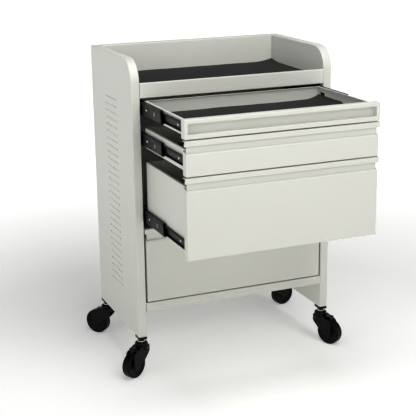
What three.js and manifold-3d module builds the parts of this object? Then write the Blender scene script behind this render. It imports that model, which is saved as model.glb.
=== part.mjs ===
// A rolling tool chest in folded sheet steel: a cabinet of double-skinned panels on four swivel
// casters, a recessed worktop with a rubber mat, and four drawers on full-extension ball-bearing
// slides. At rest the upper three drawers are pulled out and the lowest one is shut.
// Millimetres, +Z up, the front faces -Y, and the floor is z = 0.
import * as THREE from 'three';
import { mergeVertices } from 'three/addons/utils/BufferGeometryUtils.js';
import Module from 'manifold-3d';

// ---------------------------------------------------------------- driving dimensions
const chestWidth = 600;
const chestDepth = 356;
const chestTop = 896.5;
const panelBottom = 114;
const panelThickness = 25;
const cornerRadius = 62;
const sheet = 1.2;
const clearance = 0.3;
// The cabinet's front plane, measured from the middle of the whole footprint.
const frontPlaneY = -44;

const apronTop = 834;
const apronBottom = 793;
const worktopFloor = 812;
const apronReturn = 6;
const matThickness = 3;
const railTop = 215;
const railBottom = 189.5;
const stiffenerDepth = 18;

const drawerTravel = 312;
const middleMemberShare = 0.55;
const drawerSideGap = 2.4;
const frontDepth = 20;
const trayHalfWidth = 262.3;
const trayFront = frontDepth + clearance;
const trayRear = 314;
const trayHem = 6;
const trayMatThickness = 2.5;
// Heights above the floor of each drawer's front, box and slide centreline.
const drawers = [
  { name: 'drawer_1', frontTop: 790, frontBottom: 741, boxTop: 786, boxBottom: 746, slideZ: 768, open: true },
  { name: 'drawer_2', frontTop: 738, frontBottom: 648, boxTop: 713, boxBottom: 657.5, slideZ: 684, open: true },
  { name: 'drawer_3', frontTop: 645, frontBottom: 433, boxTop: 619, boxBottom: 444.5, slideZ: 469, open: true },
  { name: 'drawer_4', frontTop: 430, frontBottom: 218, boxTop: 404, boxBottom: 229.5, slideZ: 254, open: false },
];

// Pull of the shallow drawer: a tray with closed ends let into the middle of its front.
const pullDepth = 16;
const pullTopMargin = 11;
const pullBottomMargin = 12;
const pullEndMargin = 10;
// Pull of the other drawers: a folded lip over a channel that slopes out to the face.
const lipHeight = 14.7;
const lipHem = 7;
const lipHook = 5;
const channelDepth = 15;
const channelSlopeTop = 25;
const faceDrop = 36;
const faceInset = 3;
// Service notch low down near the rear of both sides of the shallow drawer.
const notch = { front: 278, rear: 304, bottom: 757, top: 771 };

// Slide members: height, web and flange places across the 12.7 mm gap, measured from the cabinet side.
const slideFront = 20.5;
const slideRear = 326;
const slideMembers = {
  cabinet: { height: 45, web: 0.3, flangeEnd: 11.6, opensInwards: true },
  middle: { height: 35.5, web: 3, flangeEnd: 11.2, opensInwards: true },
  drawer: { height: 25.5, web: 11.2, flangeEnd: 5.4, opensInwards: false },
};

const wheelRadius = 37.5;
const wheelWidth = 23.5;
const wheelTrail = 35;
const axleRadius = 4;
const casterInset = 12.5;
const casterEndDistance = 17.5;
const forkInnerHalfWidth = 13.2;
const forkLegThickness = 2.8;
const headRadius = 19.5;
const headTop = 98;
const headBottom = 75.5;
const headBoreBottom = 82;
const kingpinRadius = 5;
const collar = { radius: 11.5, top: 102.8, neckRadius: 9 };
const mountPlate = { width: 25, length: 35, thickness: 6.5 };
const axleBossRadius = 13;
const crown = { front: 10, rear: 29, bottom: 80.5, top: 84 };
const pedalHinge = { x: 24, z: 82.5, radius: 4, pinRadius: 2 };
const pedal = { rear: 20.3, front: 43, halfWidth: 9, top: 87.5, frontBottom: 78.2, thickness: 2.4 };
// Direction in which each wheel trails, in degrees from +X towards +Y.
const casters = [
  { name: 'caster_front_left', side: -1, end: 'front', trail: 210, braked: true },
  { name: 'caster_front_right', side: 1, end: 'front', trail: 296, braked: true },
  { name: 'caster_rear_left', side: -1, end: 'rear', trail: 130, braked: false },
  { name: 'caster_rear_right', side: 1, end: 'rear', trail: 14, braked: false },
];

// ---------------------------------------------------------------- values that follow from them
const halfWidth = chestWidth / 2;
const innerHalfWidth = halfWidth - panelThickness;
const fittedHalfWidth = innerHalfWidth - clearance;
const frontHalfWidth = innerHalfWidth - drawerSideGap;
const backFace = chestDepth - panelThickness;
const overshoot = 5;

// ---------------------------------------------------------------- finishes
const finish = (color, roughness, metalness) => new THREE.MeshStandardMaterial({ color, roughness, metalness });
const enamel = finish(0xe2e2dc, 0.45, 0.0);
const matRubber = finish(0x38393a, 0.85, 0.0);
const blackSteel = finish(0x1b1c1d, 0.4, 0.7);
const zinc = finish(0xb9bcbf, 0.35, 0.9);
const blackPlastic = finish(0x161719, 0.5, 0.0);

// ---------------------------------------------------------------- solids
const manifold = await Module();
manifold.setup();

/** A closed three.js geometry as a manifold solid. */
function toSolid(geometry) {
  const bare = geometry.clone();
  bare.deleteAttribute('normal');
  bare.deleteAttribute('uv');
  const merged = mergeVertices(bare, 1e-4);
  return new manifold.Manifold(new manifold.Mesh({
    numProp: 3,
    vertProperties: new Float32Array(merged.attributes.position.array),
    triVerts: new Uint32Array(merged.index.array),
  }));
}

/** A manifold solid as a three.js geometry. */
function toGeometry(solid) {
  const mesh = solid.getMesh();
  const geometry = new THREE.BufferGeometry();
  geometry.setAttribute('position', new THREE.BufferAttribute(mesh.vertProperties, 3));
  geometry.setIndex(new THREE.BufferAttribute(mesh.triVerts, 1));
  return geometry;
}

/** A box between two corners. */
function block(x0, x1, y0, y1, z0, z1) {
  const geometry = new THREE.BoxGeometry(x1 - x0, y1 - y0, z1 - z0);
  geometry.translate((x0 + x1) / 2, (y0 + y1) / 2, (z0 + z1) / 2);
  return toSolid(geometry);
}

/** A cylinder along an axis ('x', 'y' or 'z') between two places on it. */
function rod(axis, radius, from, to, centre, segments = 24) {
  const geometry = new THREE.CylinderGeometry(radius, radius, to - from, segments);
  if (axis === 'x') geometry.rotateZ(-Math.PI / 2);
  if (axis === 'z') geometry.rotateX(Math.PI / 2);
  const middle = (from + to) / 2;
  const place = { x: [middle, centre[0], centre[1]], y: [centre[0], middle, centre[1]], z: [centre[0], centre[1], middle] };
  geometry.translate(...place[axis]);
  return toSolid(geometry);
}

/** A shape drawn in (y, z), pushed along X. */
function extrudeX(shape, x0, x1, curveSegments = 10) {
  const geometry = new THREE.ExtrudeGeometry(shape, { depth: x1 - x0, bevelEnabled: false, curveSegments });
  const turn = new THREE.Matrix4().makeBasis(
    new THREE.Vector3(0, 1, 0), new THREE.Vector3(0, 0, 1), new THREE.Vector3(1, 0, 0));
  geometry.applyMatrix4(turn);
  geometry.translate(x0, 0, 0);
  return toSolid(geometry);
}

/** A shape drawn in (x, z), pushed along Y. */
function extrudeY(shape, y0, y1, curveSegments = 10) {
  const geometry = new THREE.ExtrudeGeometry(shape, { depth: y1 - y0, bevelEnabled: false, curveSegments });
  geometry.rotateX(Math.PI / 2);
  geometry.translate(0, y1, 0);
  return toSolid(geometry);
}

/** A shape from a list of corner points. */
function polygon(points) {
  return new THREE.Shape(points.map(([a, b]) => new THREE.Vector2(a, b)));
}

/** The outline of a folded sheet, given the middle line of the sheet through its folds. */
function foldedSheet(points, thickness = sheet) {
  const left = [];
  const right = [];
  points.forEach((point, index) => {
    const here = new THREE.Vector2(...point);
    const before = new THREE.Vector2(...points[Math.max(index - 1, 0)]);
    const after = new THREE.Vector2(...points[Math.min(index + 1, points.length - 1)]);
    const leaving = after.clone().sub(here);
    const arriving = index === 0 ? leaving.clone() : here.clone().sub(before);
    if (index === points.length - 1) leaving.copy(arriving);
    const normalIn = new THREE.Vector2(-arriving.y, arriving.x).normalize();
    const normalOut = new THREE.Vector2(-leaving.y, leaving.x).normalize();
    const mitre = normalIn.clone().add(normalOut).normalize();
    mitre.multiplyScalar(thickness / 2 / mitre.dot(normalIn));
    left.push(here.clone().add(mitre));
    right.unshift(here.clone().sub(mitre));
  });
  return new THREE.Shape([...left, ...right]);
}

/** Joins a list of solids. */
const join = (...solids) => solids.reduce((whole, next) => whole.add(next));

const chest = new THREE.Group();
const cabinet = new THREE.Group();
cabinet.position.y = frontPlaneY;
chest.add(cabinet);

/** Adds one named sub-part to a group. */
function addPart(group, name, solid, material) {
  const mesh = new THREE.Mesh(toGeometry(solid), material);
  mesh.name = name;
  group.add(mesh);
}

// ---------------------------------------------------------------- cabinet
/** Outline of a side panel in (y, z), drawn in from its edge by an inset. */
function sidePanelOutline(inset) {
  const radius = cornerRadius - inset;
  const shape = new THREE.Shape();
  shape.moveTo(inset, panelBottom + inset);
  shape.lineTo(chestDepth - inset, panelBottom + inset);
  shape.lineTo(chestDepth - inset, chestTop - inset);
  shape.lineTo(cornerRadius, chestTop - inset);
  shape.absarc(cornerRadius, chestTop - cornerRadius, radius, Math.PI / 2, Math.PI, false);
  shape.closePath();
  return shape;
}

/** The hollow side panel: a pan with its returns turned inwards, closed by a flat liner. */
function addSidePanel(side) {
  const label = side < 0 ? 'left' : 'right';
  const span = (near, far) => (side < 0 ? [-far, -near] : [near, far]);
  const pan = extrudeX(sidePanelOutline(0), ...span(innerHalfWidth, halfWidth));
  const hollow = extrudeX(sidePanelOutline(sheet), ...span(innerHalfWidth - overshoot, halfWidth - sheet));
  const liner = extrudeX(sidePanelOutline(sheet + clearance), ...span(innerHalfWidth, innerHalfWidth + sheet));
  addPart(cabinet, `${label}_side_shell`, pan.subtract(hollow), enamel);
  addPart(cabinet, `${label}_side_liner`, liner, enamel);
}

addSidePanel(-1);
addSidePanel(1);

// The back is a pan of the same thickness between the sides, open to the rear, with a flat cover.
const backPan = block(-fittedHalfWidth, fittedHalfWidth, backFace, chestDepth, railBottom, chestTop).subtract(
  block(-fittedHalfWidth + sheet, fittedHalfWidth - sheet, backFace + sheet, chestDepth + overshoot,
    railBottom + sheet, chestTop - sheet));
addPart(cabinet, 'back_panel', backPan, enamel);
const coverInset = sheet + clearance;
addPart(cabinet, 'back_cover', block(-fittedHalfWidth + coverInset, fittedHalfWidth - coverInset,
  chestDepth - sheet, chestDepth, railBottom + coverInset, chestTop - coverInset), enamel);

// The worktop and its front apron are one folded sheet: stiffener, apron, top fold and tray floor.
const skin = sheet / 2;
const fittedRear = backFace - clearance;
const worktopFold = foldedSheet([
  [stiffenerDepth, apronBottom + skin],
  [skin, apronBottom + skin],
  [skin, apronTop - skin],
  [apronReturn, apronTop - skin],
  [apronReturn, worktopFloor - skin],
  [fittedRear, worktopFloor - skin],
]);
addPart(cabinet, 'worktop_tray', extrudeX(worktopFold, -fittedHalfWidth, fittedHalfWidth), enamel);
const matFront = apronReturn + skin + 1;
addPart(cabinet, 'worktop_mat', block(-fittedHalfWidth + 2, fittedHalfWidth - 2, matFront, fittedRear - 1,
  worktopFloor + clearance, worktopFloor + clearance + matThickness), matRubber);

// The base is one folded sheet: stiffener, front rail, floor and rear upstand.
const baseFold = foldedSheet([
  [stiffenerDepth, railTop - skin],
  [skin, railTop - skin],
  [skin, railBottom + skin],
  [fittedRear - skin, railBottom + skin],
  [fittedRear - skin, railTop - skin],
]);
addPart(cabinet, 'base_pan', extrudeX(baseFold, -fittedHalfWidth, fittedHalfWidth), enamel);

// ---------------------------------------------------------------- drawers
/** The drawer's box: a floor and four walls whose top edges are folded inwards. */
function drawerTray(drawer) {
  const outer = block(-trayHalfWidth, trayHalfWidth, trayFront, trayRear, drawer.boxBottom, drawer.boxTop);
  const hollow = block(-trayHalfWidth + sheet, trayHalfWidth - sheet, trayFront + sheet, trayRear - sheet,
    drawer.boxBottom + sheet, drawer.boxTop - sheet);
  const mouth = block(-trayHalfWidth + trayHem, trayHalfWidth - trayHem, trayFront + trayHem, trayRear - trayHem,
    drawer.boxTop - sheet * 2, drawer.boxTop + overshoot);
  const tray = outer.subtract(hollow).subtract(mouth);
  if (drawer.name !== 'drawer_1') return tray;
  return tray.subtract(block(-halfWidth, halfWidth, notch.front, notch.rear, notch.bottom, notch.top));
}

/** The shallow drawer's front: a pan open to the rear, with the pull let into its face. */
function recessedFront(drawer) {
  const pan = block(-frontHalfWidth, frontHalfWidth, 0, frontDepth, drawer.frontBottom, drawer.frontTop);
  const hollow = block(-frontHalfWidth + sheet, frontHalfWidth - sheet, sheet, frontDepth + overshoot,
    drawer.frontBottom + sheet, drawer.frontTop - sheet);
  const pullEnd = frontHalfWidth - pullEndMargin;
  const pullTop = drawer.frontTop - pullTopMargin;
  const pullBottom = drawer.frontBottom + pullBottomMargin;
  const pullSkin = block(-pullEnd - sheet, pullEnd + sheet, 0, pullDepth + sheet, pullBottom - sheet, pullTop + sheet);
  const pullHollow = block(-pullEnd, pullEnd, -overshoot, pullDepth, pullBottom, pullTop);
  return pan.subtract(hollow).add(pullSkin).subtract(pullHollow);
}

/** A deep drawer's front: one folded sheet with a lip and a channel, and returns at the face's ends. */
function lippedFront(drawer) {
  const top = drawer.frontTop;
  const bottom = drawer.frontBottom;
  const fold = foldedSheet([
    [frontDepth, bottom + skin],
    [skin, bottom + skin],
    [skin, top - faceDrop],
    [channelDepth, top - channelSlopeTop],
    [channelDepth, top - skin],
    [skin, top - skin],
    [skin, top - lipHeight + skin],
    [lipHem, top - lipHeight + skin],
    [lipHem, top - lipHeight + lipHook],
  ]);
  const whole = extrudeX(fold, -frontHalfWidth, frontHalfWidth);
  const faceEnd = frontHalfWidth - faceInset;
  const trimTop = top - lipHeight - 1;
  const trims = [-1, 1].map((side) => block(
    Math.min(side * faceEnd, side * halfWidth), Math.max(side * faceEnd, side * halfWidth),
    -overshoot, frontDepth + overshoot, bottom - overshoot, trimTop));
  const returns = [-1, 1].map((side) => block(
    Math.min(side * faceEnd, side * (faceEnd - sheet)), Math.max(side * faceEnd, side * (faceEnd - sheet)),
    0, frontDepth, bottom, top - faceDrop));
  return join(whole.subtract(trims[0]).subtract(trims[1]), ...returns);
}

/** One member of a slide: a channel with its web on one side of the gap and its flanges towards the other. */
function slideMember(side, member, centreZ) {
  const { height, web, flangeEnd, opensInwards } = member;
  const webFar = web + sheet;
  const low = Math.min(web, flangeEnd);
  const high = Math.max(webFar, flangeEnd);
  const across = (from, to) => {
    const near = innerHalfWidth - to;
    const far = innerHalfWidth - from;
    return side < 0 ? [-far, -near] : [near, far];
  };
  const outer = block(...across(low, high), slideFront, slideRear, centreZ - height / 2, centreZ + height / 2);
  const groove = opensInwards ? across(webFar, high + overshoot) : across(low - overshoot, web);
  const hollow = block(...groove, slideFront - 1, slideRear + 1, centreZ - height / 2 + sheet, centreZ + height / 2 - sheet);
  return outer.subtract(hollow);
}

for (const drawer of drawers) {
  const box = new THREE.Group();
  box.position.y = drawer.open ? -drawerTravel : 0;
  cabinet.add(box);
  const tray = drawerTray(drawer);
  const front = drawer.name === 'drawer_1' ? recessedFront(drawer) : lippedFront(drawer);
  const matInset = sheet + 1;
  const mat = block(-trayHalfWidth + matInset, trayHalfWidth - matInset, trayFront + matInset, trayRear - matInset,
    drawer.boxBottom + sheet + clearance, drawer.boxBottom + sheet + clearance + trayMatThickness);
  addPart(box, `${drawer.name}_tray`, tray, enamel);
  addPart(box, `${drawer.name}_front`, front, enamel);
  addPart(box, `${drawer.name}_mat`, mat, matRubber);
  for (const side of [-1, 1]) {
    const label = side < 0 ? 'left' : 'right';
    const middle = new THREE.Group();
    middle.position.y = drawer.open ? -drawerTravel * middleMemberShare : 0;
    cabinet.add(middle);
    const holders = { cabinet, middle, drawer: box };
    for (const [kind, member] of Object.entries(slideMembers)) {
      addPart(holders[kind], `${drawer.name}_${label}_slide_${kind}_member`,
        slideMember(side, member, drawer.slideZ), blackSteel);
    }
  }
}

// ---------------------------------------------------------------- casters
/** Top plate with its neck, collar and kingpin, fixed under a side panel. */
function casterMount() {
  const plateTop = panelBottom - clearance;
  const plateBottom = plateTop - mountPlate.thickness;
  const plate = block(-mountPlate.width / 2, mountPlate.width / 2, -mountPlate.length / 2, mountPlate.length / 2,
    plateBottom, plateTop);
  const neck = rod('z', collar.neckRadius, collar.top - 1, plateBottom + 1, [0, 0], 28);
  const ring = rod('z', collar.radius, headTop + clearance, collar.top, [0, 0], 28);
  const kingpin = rod('z', kingpinRadius, headBoreBottom + 0.5, collar.top, [0, 0], 20);
  return join(plate, neck, ring, kingpin);
}

/** Swivel fork: a domed head over two broad legs, with the wheel's axle riveted through them. */
function casterFork(braked) {
  const head = new THREE.LatheGeometry([
    [0, headBottom],
    [headRadius, headBottom],
    [headRadius, headTop - 8],
    [headRadius - 2, headTop - 3],
    [headRadius - 6.5, headTop],
    [0, headTop],
  ].map(([radius, z]) => new THREE.Vector2(radius, z)), 32);
  head.rotateX(Math.PI / 2);
  const bore = rod('z', kingpinRadius + 0.4, headBoreBottom, headTop + overshoot, [0, 0], 20);
  const legOutline = new THREE.Shape();
  legOutline.moveTo(-17, headTop - 10);
  legOutline.lineTo(-17, 68);
  legOutline.lineTo(5, 44);
  legOutline.absarc(wheelTrail, wheelRadius, axleBossRadius, Math.PI * 1.1, Math.PI * 2, false);
  legOutline.lineTo(49, 68);
  legOutline.lineTo(44, 76);
  legOutline.lineTo(30, 81);
  legOutline.lineTo(17, headTop - 10);
  legOutline.closePath();
  const outerHalfWidth = forkInnerHalfWidth + forkLegThickness;
  const legs = [-1, 1].map((side) => extrudeY(legOutline,
    side < 0 ? -outerHalfWidth : forkInnerHalfWidth, side < 0 ? -forkInnerHalfWidth : outerHalfWidth, 8));
  const axle = rod('y', axleRadius, -outerHalfWidth - 1.5, outerHalfWidth + 1.5, [wheelTrail, wheelRadius]);
  const fork = join(toSolid(head), ...legs, axle);
  if (!braked) {
    return fork.add(block(crown.front, crown.rear, -outerHalfWidth, outerHalfWidth, crown.bottom, crown.top))
      .subtract(bore);
  }
  return fork.add(rod('y', pedalHinge.pinRadius, -outerHalfWidth, outerHalfWidth, [pedalHinge.x, pedalHinge.z], 16))
    .subtract(bore);
}

/** The wheel: a square-shouldered tread on a dished body with a bored hub. */
function casterWheel() {
  const boreRadius = axleRadius + clearance;
  const half = wheelWidth / 2;
  const rim = wheelRadius - 7;
  const profile = [
    [boreRadius, -half - 0.5], [11, -half - 0.5], [13, -half + 1.5], [rim, -half + 1.5],
    [rim + 2, -half], [wheelRadius - 2.5, -half], [wheelRadius - 0.8, -half + 0.8], [wheelRadius, -half + 3],
  ];
  const mirrored = profile.map(([radius, across]) => [radius, -across]).reverse();
  const outline = [...profile, ...mirrored, profile[0]].map(([radius, across]) => new THREE.Vector2(radius, across));
  const geometry = new THREE.LatheGeometry(outline, 32);
  geometry.translate(wheelTrail, 0, wheelRadius);
  return toSolid(geometry);
}

/** The brake pedal: a tab over the wheel with a turned-down front, on a pin between the fork's legs. */
function brakePedal() {
  const { rear, front, halfWidth: reach, top, frontBottom, thickness } = pedal;
  const hub = rod('y', pedalHinge.radius, -reach, reach, [pedalHinge.x, pedalHinge.z], 20);
  const tab = block(rear, front, -reach, reach, top - thickness, top);
  const turnedDown = block(front - thickness, front, -reach, reach, frontBottom, top);
  const hole = rod('y', pedalHinge.pinRadius + clearance, -halfWidth, halfWidth, [pedalHinge.x, pedalHinge.z], 16);
  return join(hub, tab, turnedDown).subtract(hole);
}

for (const caster of casters) {
  const place = new THREE.Group();
  const y = caster.end === 'front' ? casterEndDistance : chestDepth - casterEndDistance;
  place.position.set(caster.side * (halfWidth - casterInset), y, 0);
  cabinet.add(place);
  addPart(place, `${caster.name}_mount`, casterMount(), zinc);
  const swivel = new THREE.Group();
  swivel.rotation.z = THREE.MathUtils.degToRad(caster.trail);
  place.add(swivel);
  addPart(swivel, `${caster.name}_fork`, casterFork(caster.braked), blackSteel);
  addPart(swivel, `${caster.name}_wheel`, casterWheel(), blackPlastic);
  if (caster.braked) addPart(swivel, `${caster.name}_brake_pedal`, brakePedal(), blackSteel);
}

export default chest;
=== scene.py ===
"""A rolling tool chest in folded sheet steel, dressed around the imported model's frame.

Sizes are in millimetres, in the frame's own axes: +X to the right, +Y to the rear and +Z up from
the floor. Places come from the CAD nodes' boxes, and every piece is turned to metres as it is made.
"""
from __future__ import annotations

import logging
import math
from collections.abc import Callable
from dataclasses import dataclass
from dataclasses import field
from enum import Enum
from functools import cache

import bmesh
import bpy
from mathutils import Matrix
from mathutils import Vector


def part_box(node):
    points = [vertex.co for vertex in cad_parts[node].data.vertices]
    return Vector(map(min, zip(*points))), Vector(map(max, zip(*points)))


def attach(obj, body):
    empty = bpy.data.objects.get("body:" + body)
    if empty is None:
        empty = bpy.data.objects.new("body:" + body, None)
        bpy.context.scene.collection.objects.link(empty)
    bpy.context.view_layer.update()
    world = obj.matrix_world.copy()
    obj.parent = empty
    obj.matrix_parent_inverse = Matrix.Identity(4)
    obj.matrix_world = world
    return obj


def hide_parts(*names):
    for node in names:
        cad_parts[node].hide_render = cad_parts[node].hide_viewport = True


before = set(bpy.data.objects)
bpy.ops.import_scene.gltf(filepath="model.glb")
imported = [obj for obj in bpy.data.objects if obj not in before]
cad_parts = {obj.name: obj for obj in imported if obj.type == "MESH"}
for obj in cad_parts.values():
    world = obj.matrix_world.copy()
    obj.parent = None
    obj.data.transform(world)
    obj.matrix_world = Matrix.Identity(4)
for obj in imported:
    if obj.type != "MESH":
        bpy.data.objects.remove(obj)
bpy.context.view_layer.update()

MM = 0.001
SHEET = 1.2
SKIN = SHEET / 2
FOLD = 2.4
GAP = 0.3
FOLD_STEPS = 4
QUARTER_TURN = [math.radians(90) * step / FOLD_STEPS for step in range(FOLD_STEPS + 1)]
SHARPEST_CORNER = 0.15
BROAD_CORNER = 20.0
BROAD_STEPS = 24
LONGEST_BEND_SHARE = 0.48
LEAST_MITRE = 0.5
SEAM = 0.002
BEVEL_STEPS = 3
BEVEL_ANGLE = math.radians(40)
SMOOTH_ANGLE = math.radians(35)

Point = tuple[float, float]
Corner = tuple[float, float, float]
Place = Callable[[float, float, float], Vector]
log = logging.getLogger("tool_chest")


class Side(Enum):
    """The chest's two sides, as the sign of X."""

    LEFT = -1
    RIGHT = 1

    @property
    def label(self) -> str:
        """The side's name as it stands in the CAD nodes' names."""
        return self.name.lower()


class Head(Enum):
    """The kinds of fastener head."""

    RIVET = "domed_rivet"
    SCREW = "cross_recess_screw"


@dataclass(frozen=True)
class Box:
    """The corners of a CAD node, in millimetres."""

    x0: float
    x1: float
    y0: float
    y1: float
    z0: float
    z1: float

    @classmethod
    def of(cls, node: str) -> Box:
        """The box of one CAD node at rest."""
        low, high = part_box(node)
        return cls(low.x / MM, high.x / MM, low.y / MM, high.y / MM, low.z / MM, high.z / MM)

    @property
    def middle(self) -> Vector:
        """The middle of the box."""
        return Vector(((self.x0 + self.x1) / 2, (self.y0 + self.y1) / 2, (self.z0 + self.z1) / 2))


# ---------------------------------------------------------------- nodes and colours
def linear(colour: str) -> tuple[float, float, float, float]:
    """Turns an sRGB hex colour into linear RGBA.

    Args:
        colour: The colour as "#RRGGBB".

    Returns:
        Red, green, blue and an alpha of one.
    """
    shares = [int(colour[i:i + 2], 16) / 255 for i in (1, 3, 5)]
    red, green, blue = [c / 12.92 if c <= 0.04045 else ((c + 0.055) / 1.055) ** 2.4 for c in shares]
    return red, green, blue, 1.0


def add_node(tree: bpy.types.NodeTree, kind: str, inputs: dict | None = None,
             **settings: object) -> bpy.types.Node:
    """Adds a node with its settings and links.

    Args:
        tree: The tree that the node goes into.
        kind: The node's type name.
        inputs: A value, or a socket to link from, for each input by name or number.
        **settings: The node's own properties.

    Returns:
        The new node.
    """
    node = tree.nodes.new(kind)
    for key, value in settings.items():
        setattr(node, key, value)
    for key, value in (inputs or {}).items():
        if isinstance(value, bpy.types.NodeSocket):
            tree.links.new(value, node.inputs[key])
        else:
            node.inputs[key].default_value = value
    return node


def add_object(name: str, data: bpy.types.ID) -> bpy.types.Object:
    """Puts an object into the scene, at the origin.

    Args:
        name: The object's name.
        data: What it shows: a mesh, a lamp or a camera.

    Returns:
        The object.
    """
    made = bpy.data.objects.new(name, data)
    bpy.context.scene.collection.objects.link(made)
    return made


# ---------------------------------------------------------------- finishes
@dataclass(frozen=True)
class Finish:
    """What every finish has: a Principled shader over patterns on Object coordinates.

    The grain is a noise whose size is a real one in millimetres. It shifts the roughness, and its
    height gives the bump.
    """

    name: str
    colour: str
    shade: str
    roughness: float
    metallic: float = 0.0
    grain: float = 2.0
    stretch: tuple[float, float, float] = (1.0, 1.0, 1.0)
    bump: float = 0.1
    bump_height: float = 0.02
    roughness_spread: float = 0.06
    mottle: float = 140.0
    coat: float = 0.0
    ior: float = 1.5

    @cache
    def material(self) -> bpy.types.Material:
        """Makes the material, once.

        Returns:
            The finish as a Blender material.
        """
        made = bpy.data.materials.new(self.name)
        made.use_nodes = True
        tree = made.node_tree
        tree.nodes.clear()
        place = add_node(tree, "ShaderNodeTexCoord").outputs["Object"]
        stretched = add_node(tree, "ShaderNodeMapping", {"Vector": place, "Scale": self.stretch})
        grain = self.grain_height(tree, stretched.outputs["Vector"])
        cloud = add_node(tree, "ShaderNodeTexNoise", {
            "Vector": place, "Scale": 1 / (self.mottle * MM), "Detail": 3.0, "Roughness": 0.55})
        tint = add_node(tree, "ShaderNodeMix", {
            "Factor": cloud.outputs["Fac"], 6: linear(self.colour), 7: linear(self.shade)}, data_type="RGBA")
        gloss = add_node(tree, "ShaderNodeMapRange", {
            "Value": grain, "To Min": self.roughness - self.roughness_spread,
            "To Max": self.roughness + self.roughness_spread})
        bump = add_node(tree, "ShaderNodeBump", {
            "Height": grain, "Strength": self.bump, "Distance": self.bump_height * MM})
        shader = add_node(tree, "ShaderNodeBsdfPrincipled", {
            "Base Color": tint.outputs[2], "Roughness": gloss.outputs["Result"], "Metallic": self.metallic,
            "Coat Weight": self.coat, "Normal": bump.outputs["Normal"]})
        if not self.metallic:
            shader.inputs["IOR"].default_value = self.ior
        add_node(tree, "ShaderNodeOutputMaterial", {"Surface": shader.outputs["BSDF"]})
        return made

    def grain_height(self, tree: bpy.types.NodeTree, place: bpy.types.NodeSocket) -> bpy.types.NodeSocket:
        """The height of the fine pattern, from 0 to 1, at a place in metres."""
        noise = add_node(tree, "ShaderNodeTexNoise", {
            "Vector": place, "Scale": 1 / (self.grain * MM), "Detail": 2.0, "Roughness": 0.5})
        return noise.outputs["Fac"]


@dataclass(frozen=True)
class FoamRubber(Finish):
    """Sliced foam rubber: round cells a millimetre or so across, under the slicing knife's long lines."""

    knife_lines: float = 4.5
    knife_share: float = 0.6
    drawn_out: float = 0.06

    def grain_height(self, tree: bpy.types.NodeTree, place: bpy.types.NodeSocket) -> bpy.types.NodeSocket:
        """The open cells, as pits between thin walls, with the knife's lines along X.

        Args:
            tree: The material's tree.
            place: Where on the mat, in metres.

        Returns:
            The socket that holds the height.
        """
        cells = add_node(tree, "ShaderNodeTexVoronoi", {"Vector": place, "Scale": 1 / (self.grain * MM)})
        drawn = add_node(tree, "ShaderNodeMapping", {"Vector": place, "Scale": (self.drawn_out, 1.0, 1.0)})
        lines = add_node(tree, "ShaderNodeTexNoise", {
            "Vector": drawn.outputs["Vector"], "Scale": 1 / (self.knife_lines * MM), "Detail": 2.0})
        height = add_node(tree, "ShaderNodeMix", {
            "Factor": self.knife_share, 2: cells.outputs["Distance"], 3: lines.outputs["Fac"]})
        return height.outputs[0]


# Polyester powder baked on steel: satin, with the faint orange peel of melted powder (about 2 mm
# from crest to crest), which breaks up reflections without showing as a texture.
ENAMEL = Finish("powder_coat_satin_off_white", "#CDCDC6", "#C8C8C1", roughness=0.42, grain=2.0, bump=0.25,
                bump_height=0.03, roughness_spread=0.05, mottle=220.0)
# Sliced foam rubber: near black and dull, with cells drawn 1.8 mm wide so that they just show.
MAT_RUBBER = FoamRubber("foam_rubber_sliced", "#313232", "#252626", roughness=0.84, ior=1.35, grain=1.8,
                        bump=0.6, bump_height=0.5, roughness_spread=0.08, mottle=35.0)
# Cold-rolled strip with a black zinc passivation: dark metal with rolling marks along the slide.
BLACK_ZINC = Finish("black_zinc_cold_rolled_steel", "#1C1D20", "#131416", roughness=0.40, metallic=1.0,
                    grain=1.2, stretch=(1.0, 0.04, 1.0), bump=0.15, bump_height=0.02,
                    roughness_spread=0.08, mottle=60.0)
# Bright zinc plate on turned and headed parts: silver, slightly cloudy from the chromate rinse.
BRIGHT_ZINC = Finish("bright_zinc_plate", "#D5D7DA", "#BDC0C4", roughness=0.26, metallic=1.0, grain=1.5,
                     bump=0.1, bump_height=0.01, roughness_spread=0.06, mottle=12.0)
# Hardened chrome-steel balls: polished nearly to a mirror.
BALL_STEEL = Finish("polished_chrome_steel", "#D9DADC", "#CDCFD2", roughness=0.12, metallic=1.0, grain=1.0,
                    bump=0.0, bump_height=0.01, roughness_spread=0.03, mottle=8.0)
# Stoved black enamel on the pressed forks: deep black and glossy, pooling a little at the edges.
FORK_ENAMEL = Finish("stoved_black_enamel", "#090A0B", "#060707", roughness=0.24, ior=1.25, grain=2.5,
                     bump=0.2, bump_height=0.03, roughness_spread=0.05, mottle=25.0, coat=0.05)
# Moulded glass-filled nylon: black with a spark-eroded grain about 0.8 mm across.
BLACK_NYLON = Finish("moulded_black_nylon", "#111214", "#0C0D0E", roughness=0.50, ior=1.35, grain=0.8,
                     bump=0.3, bump_height=0.05, roughness_spread=0.07, mottle=30.0)
# Cast polyurethane tyre and body: black, smooth, with dull scuffs picked up from the floor.
WHEEL_PLASTIC = Finish("cast_black_polyurethane", "#07080A", "#0C0D0E", roughness=0.34, ior=1.22, grain=3.5,
                       bump=0.2, bump_height=0.04, roughness_spread=0.12, mottle=18.0)


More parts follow.
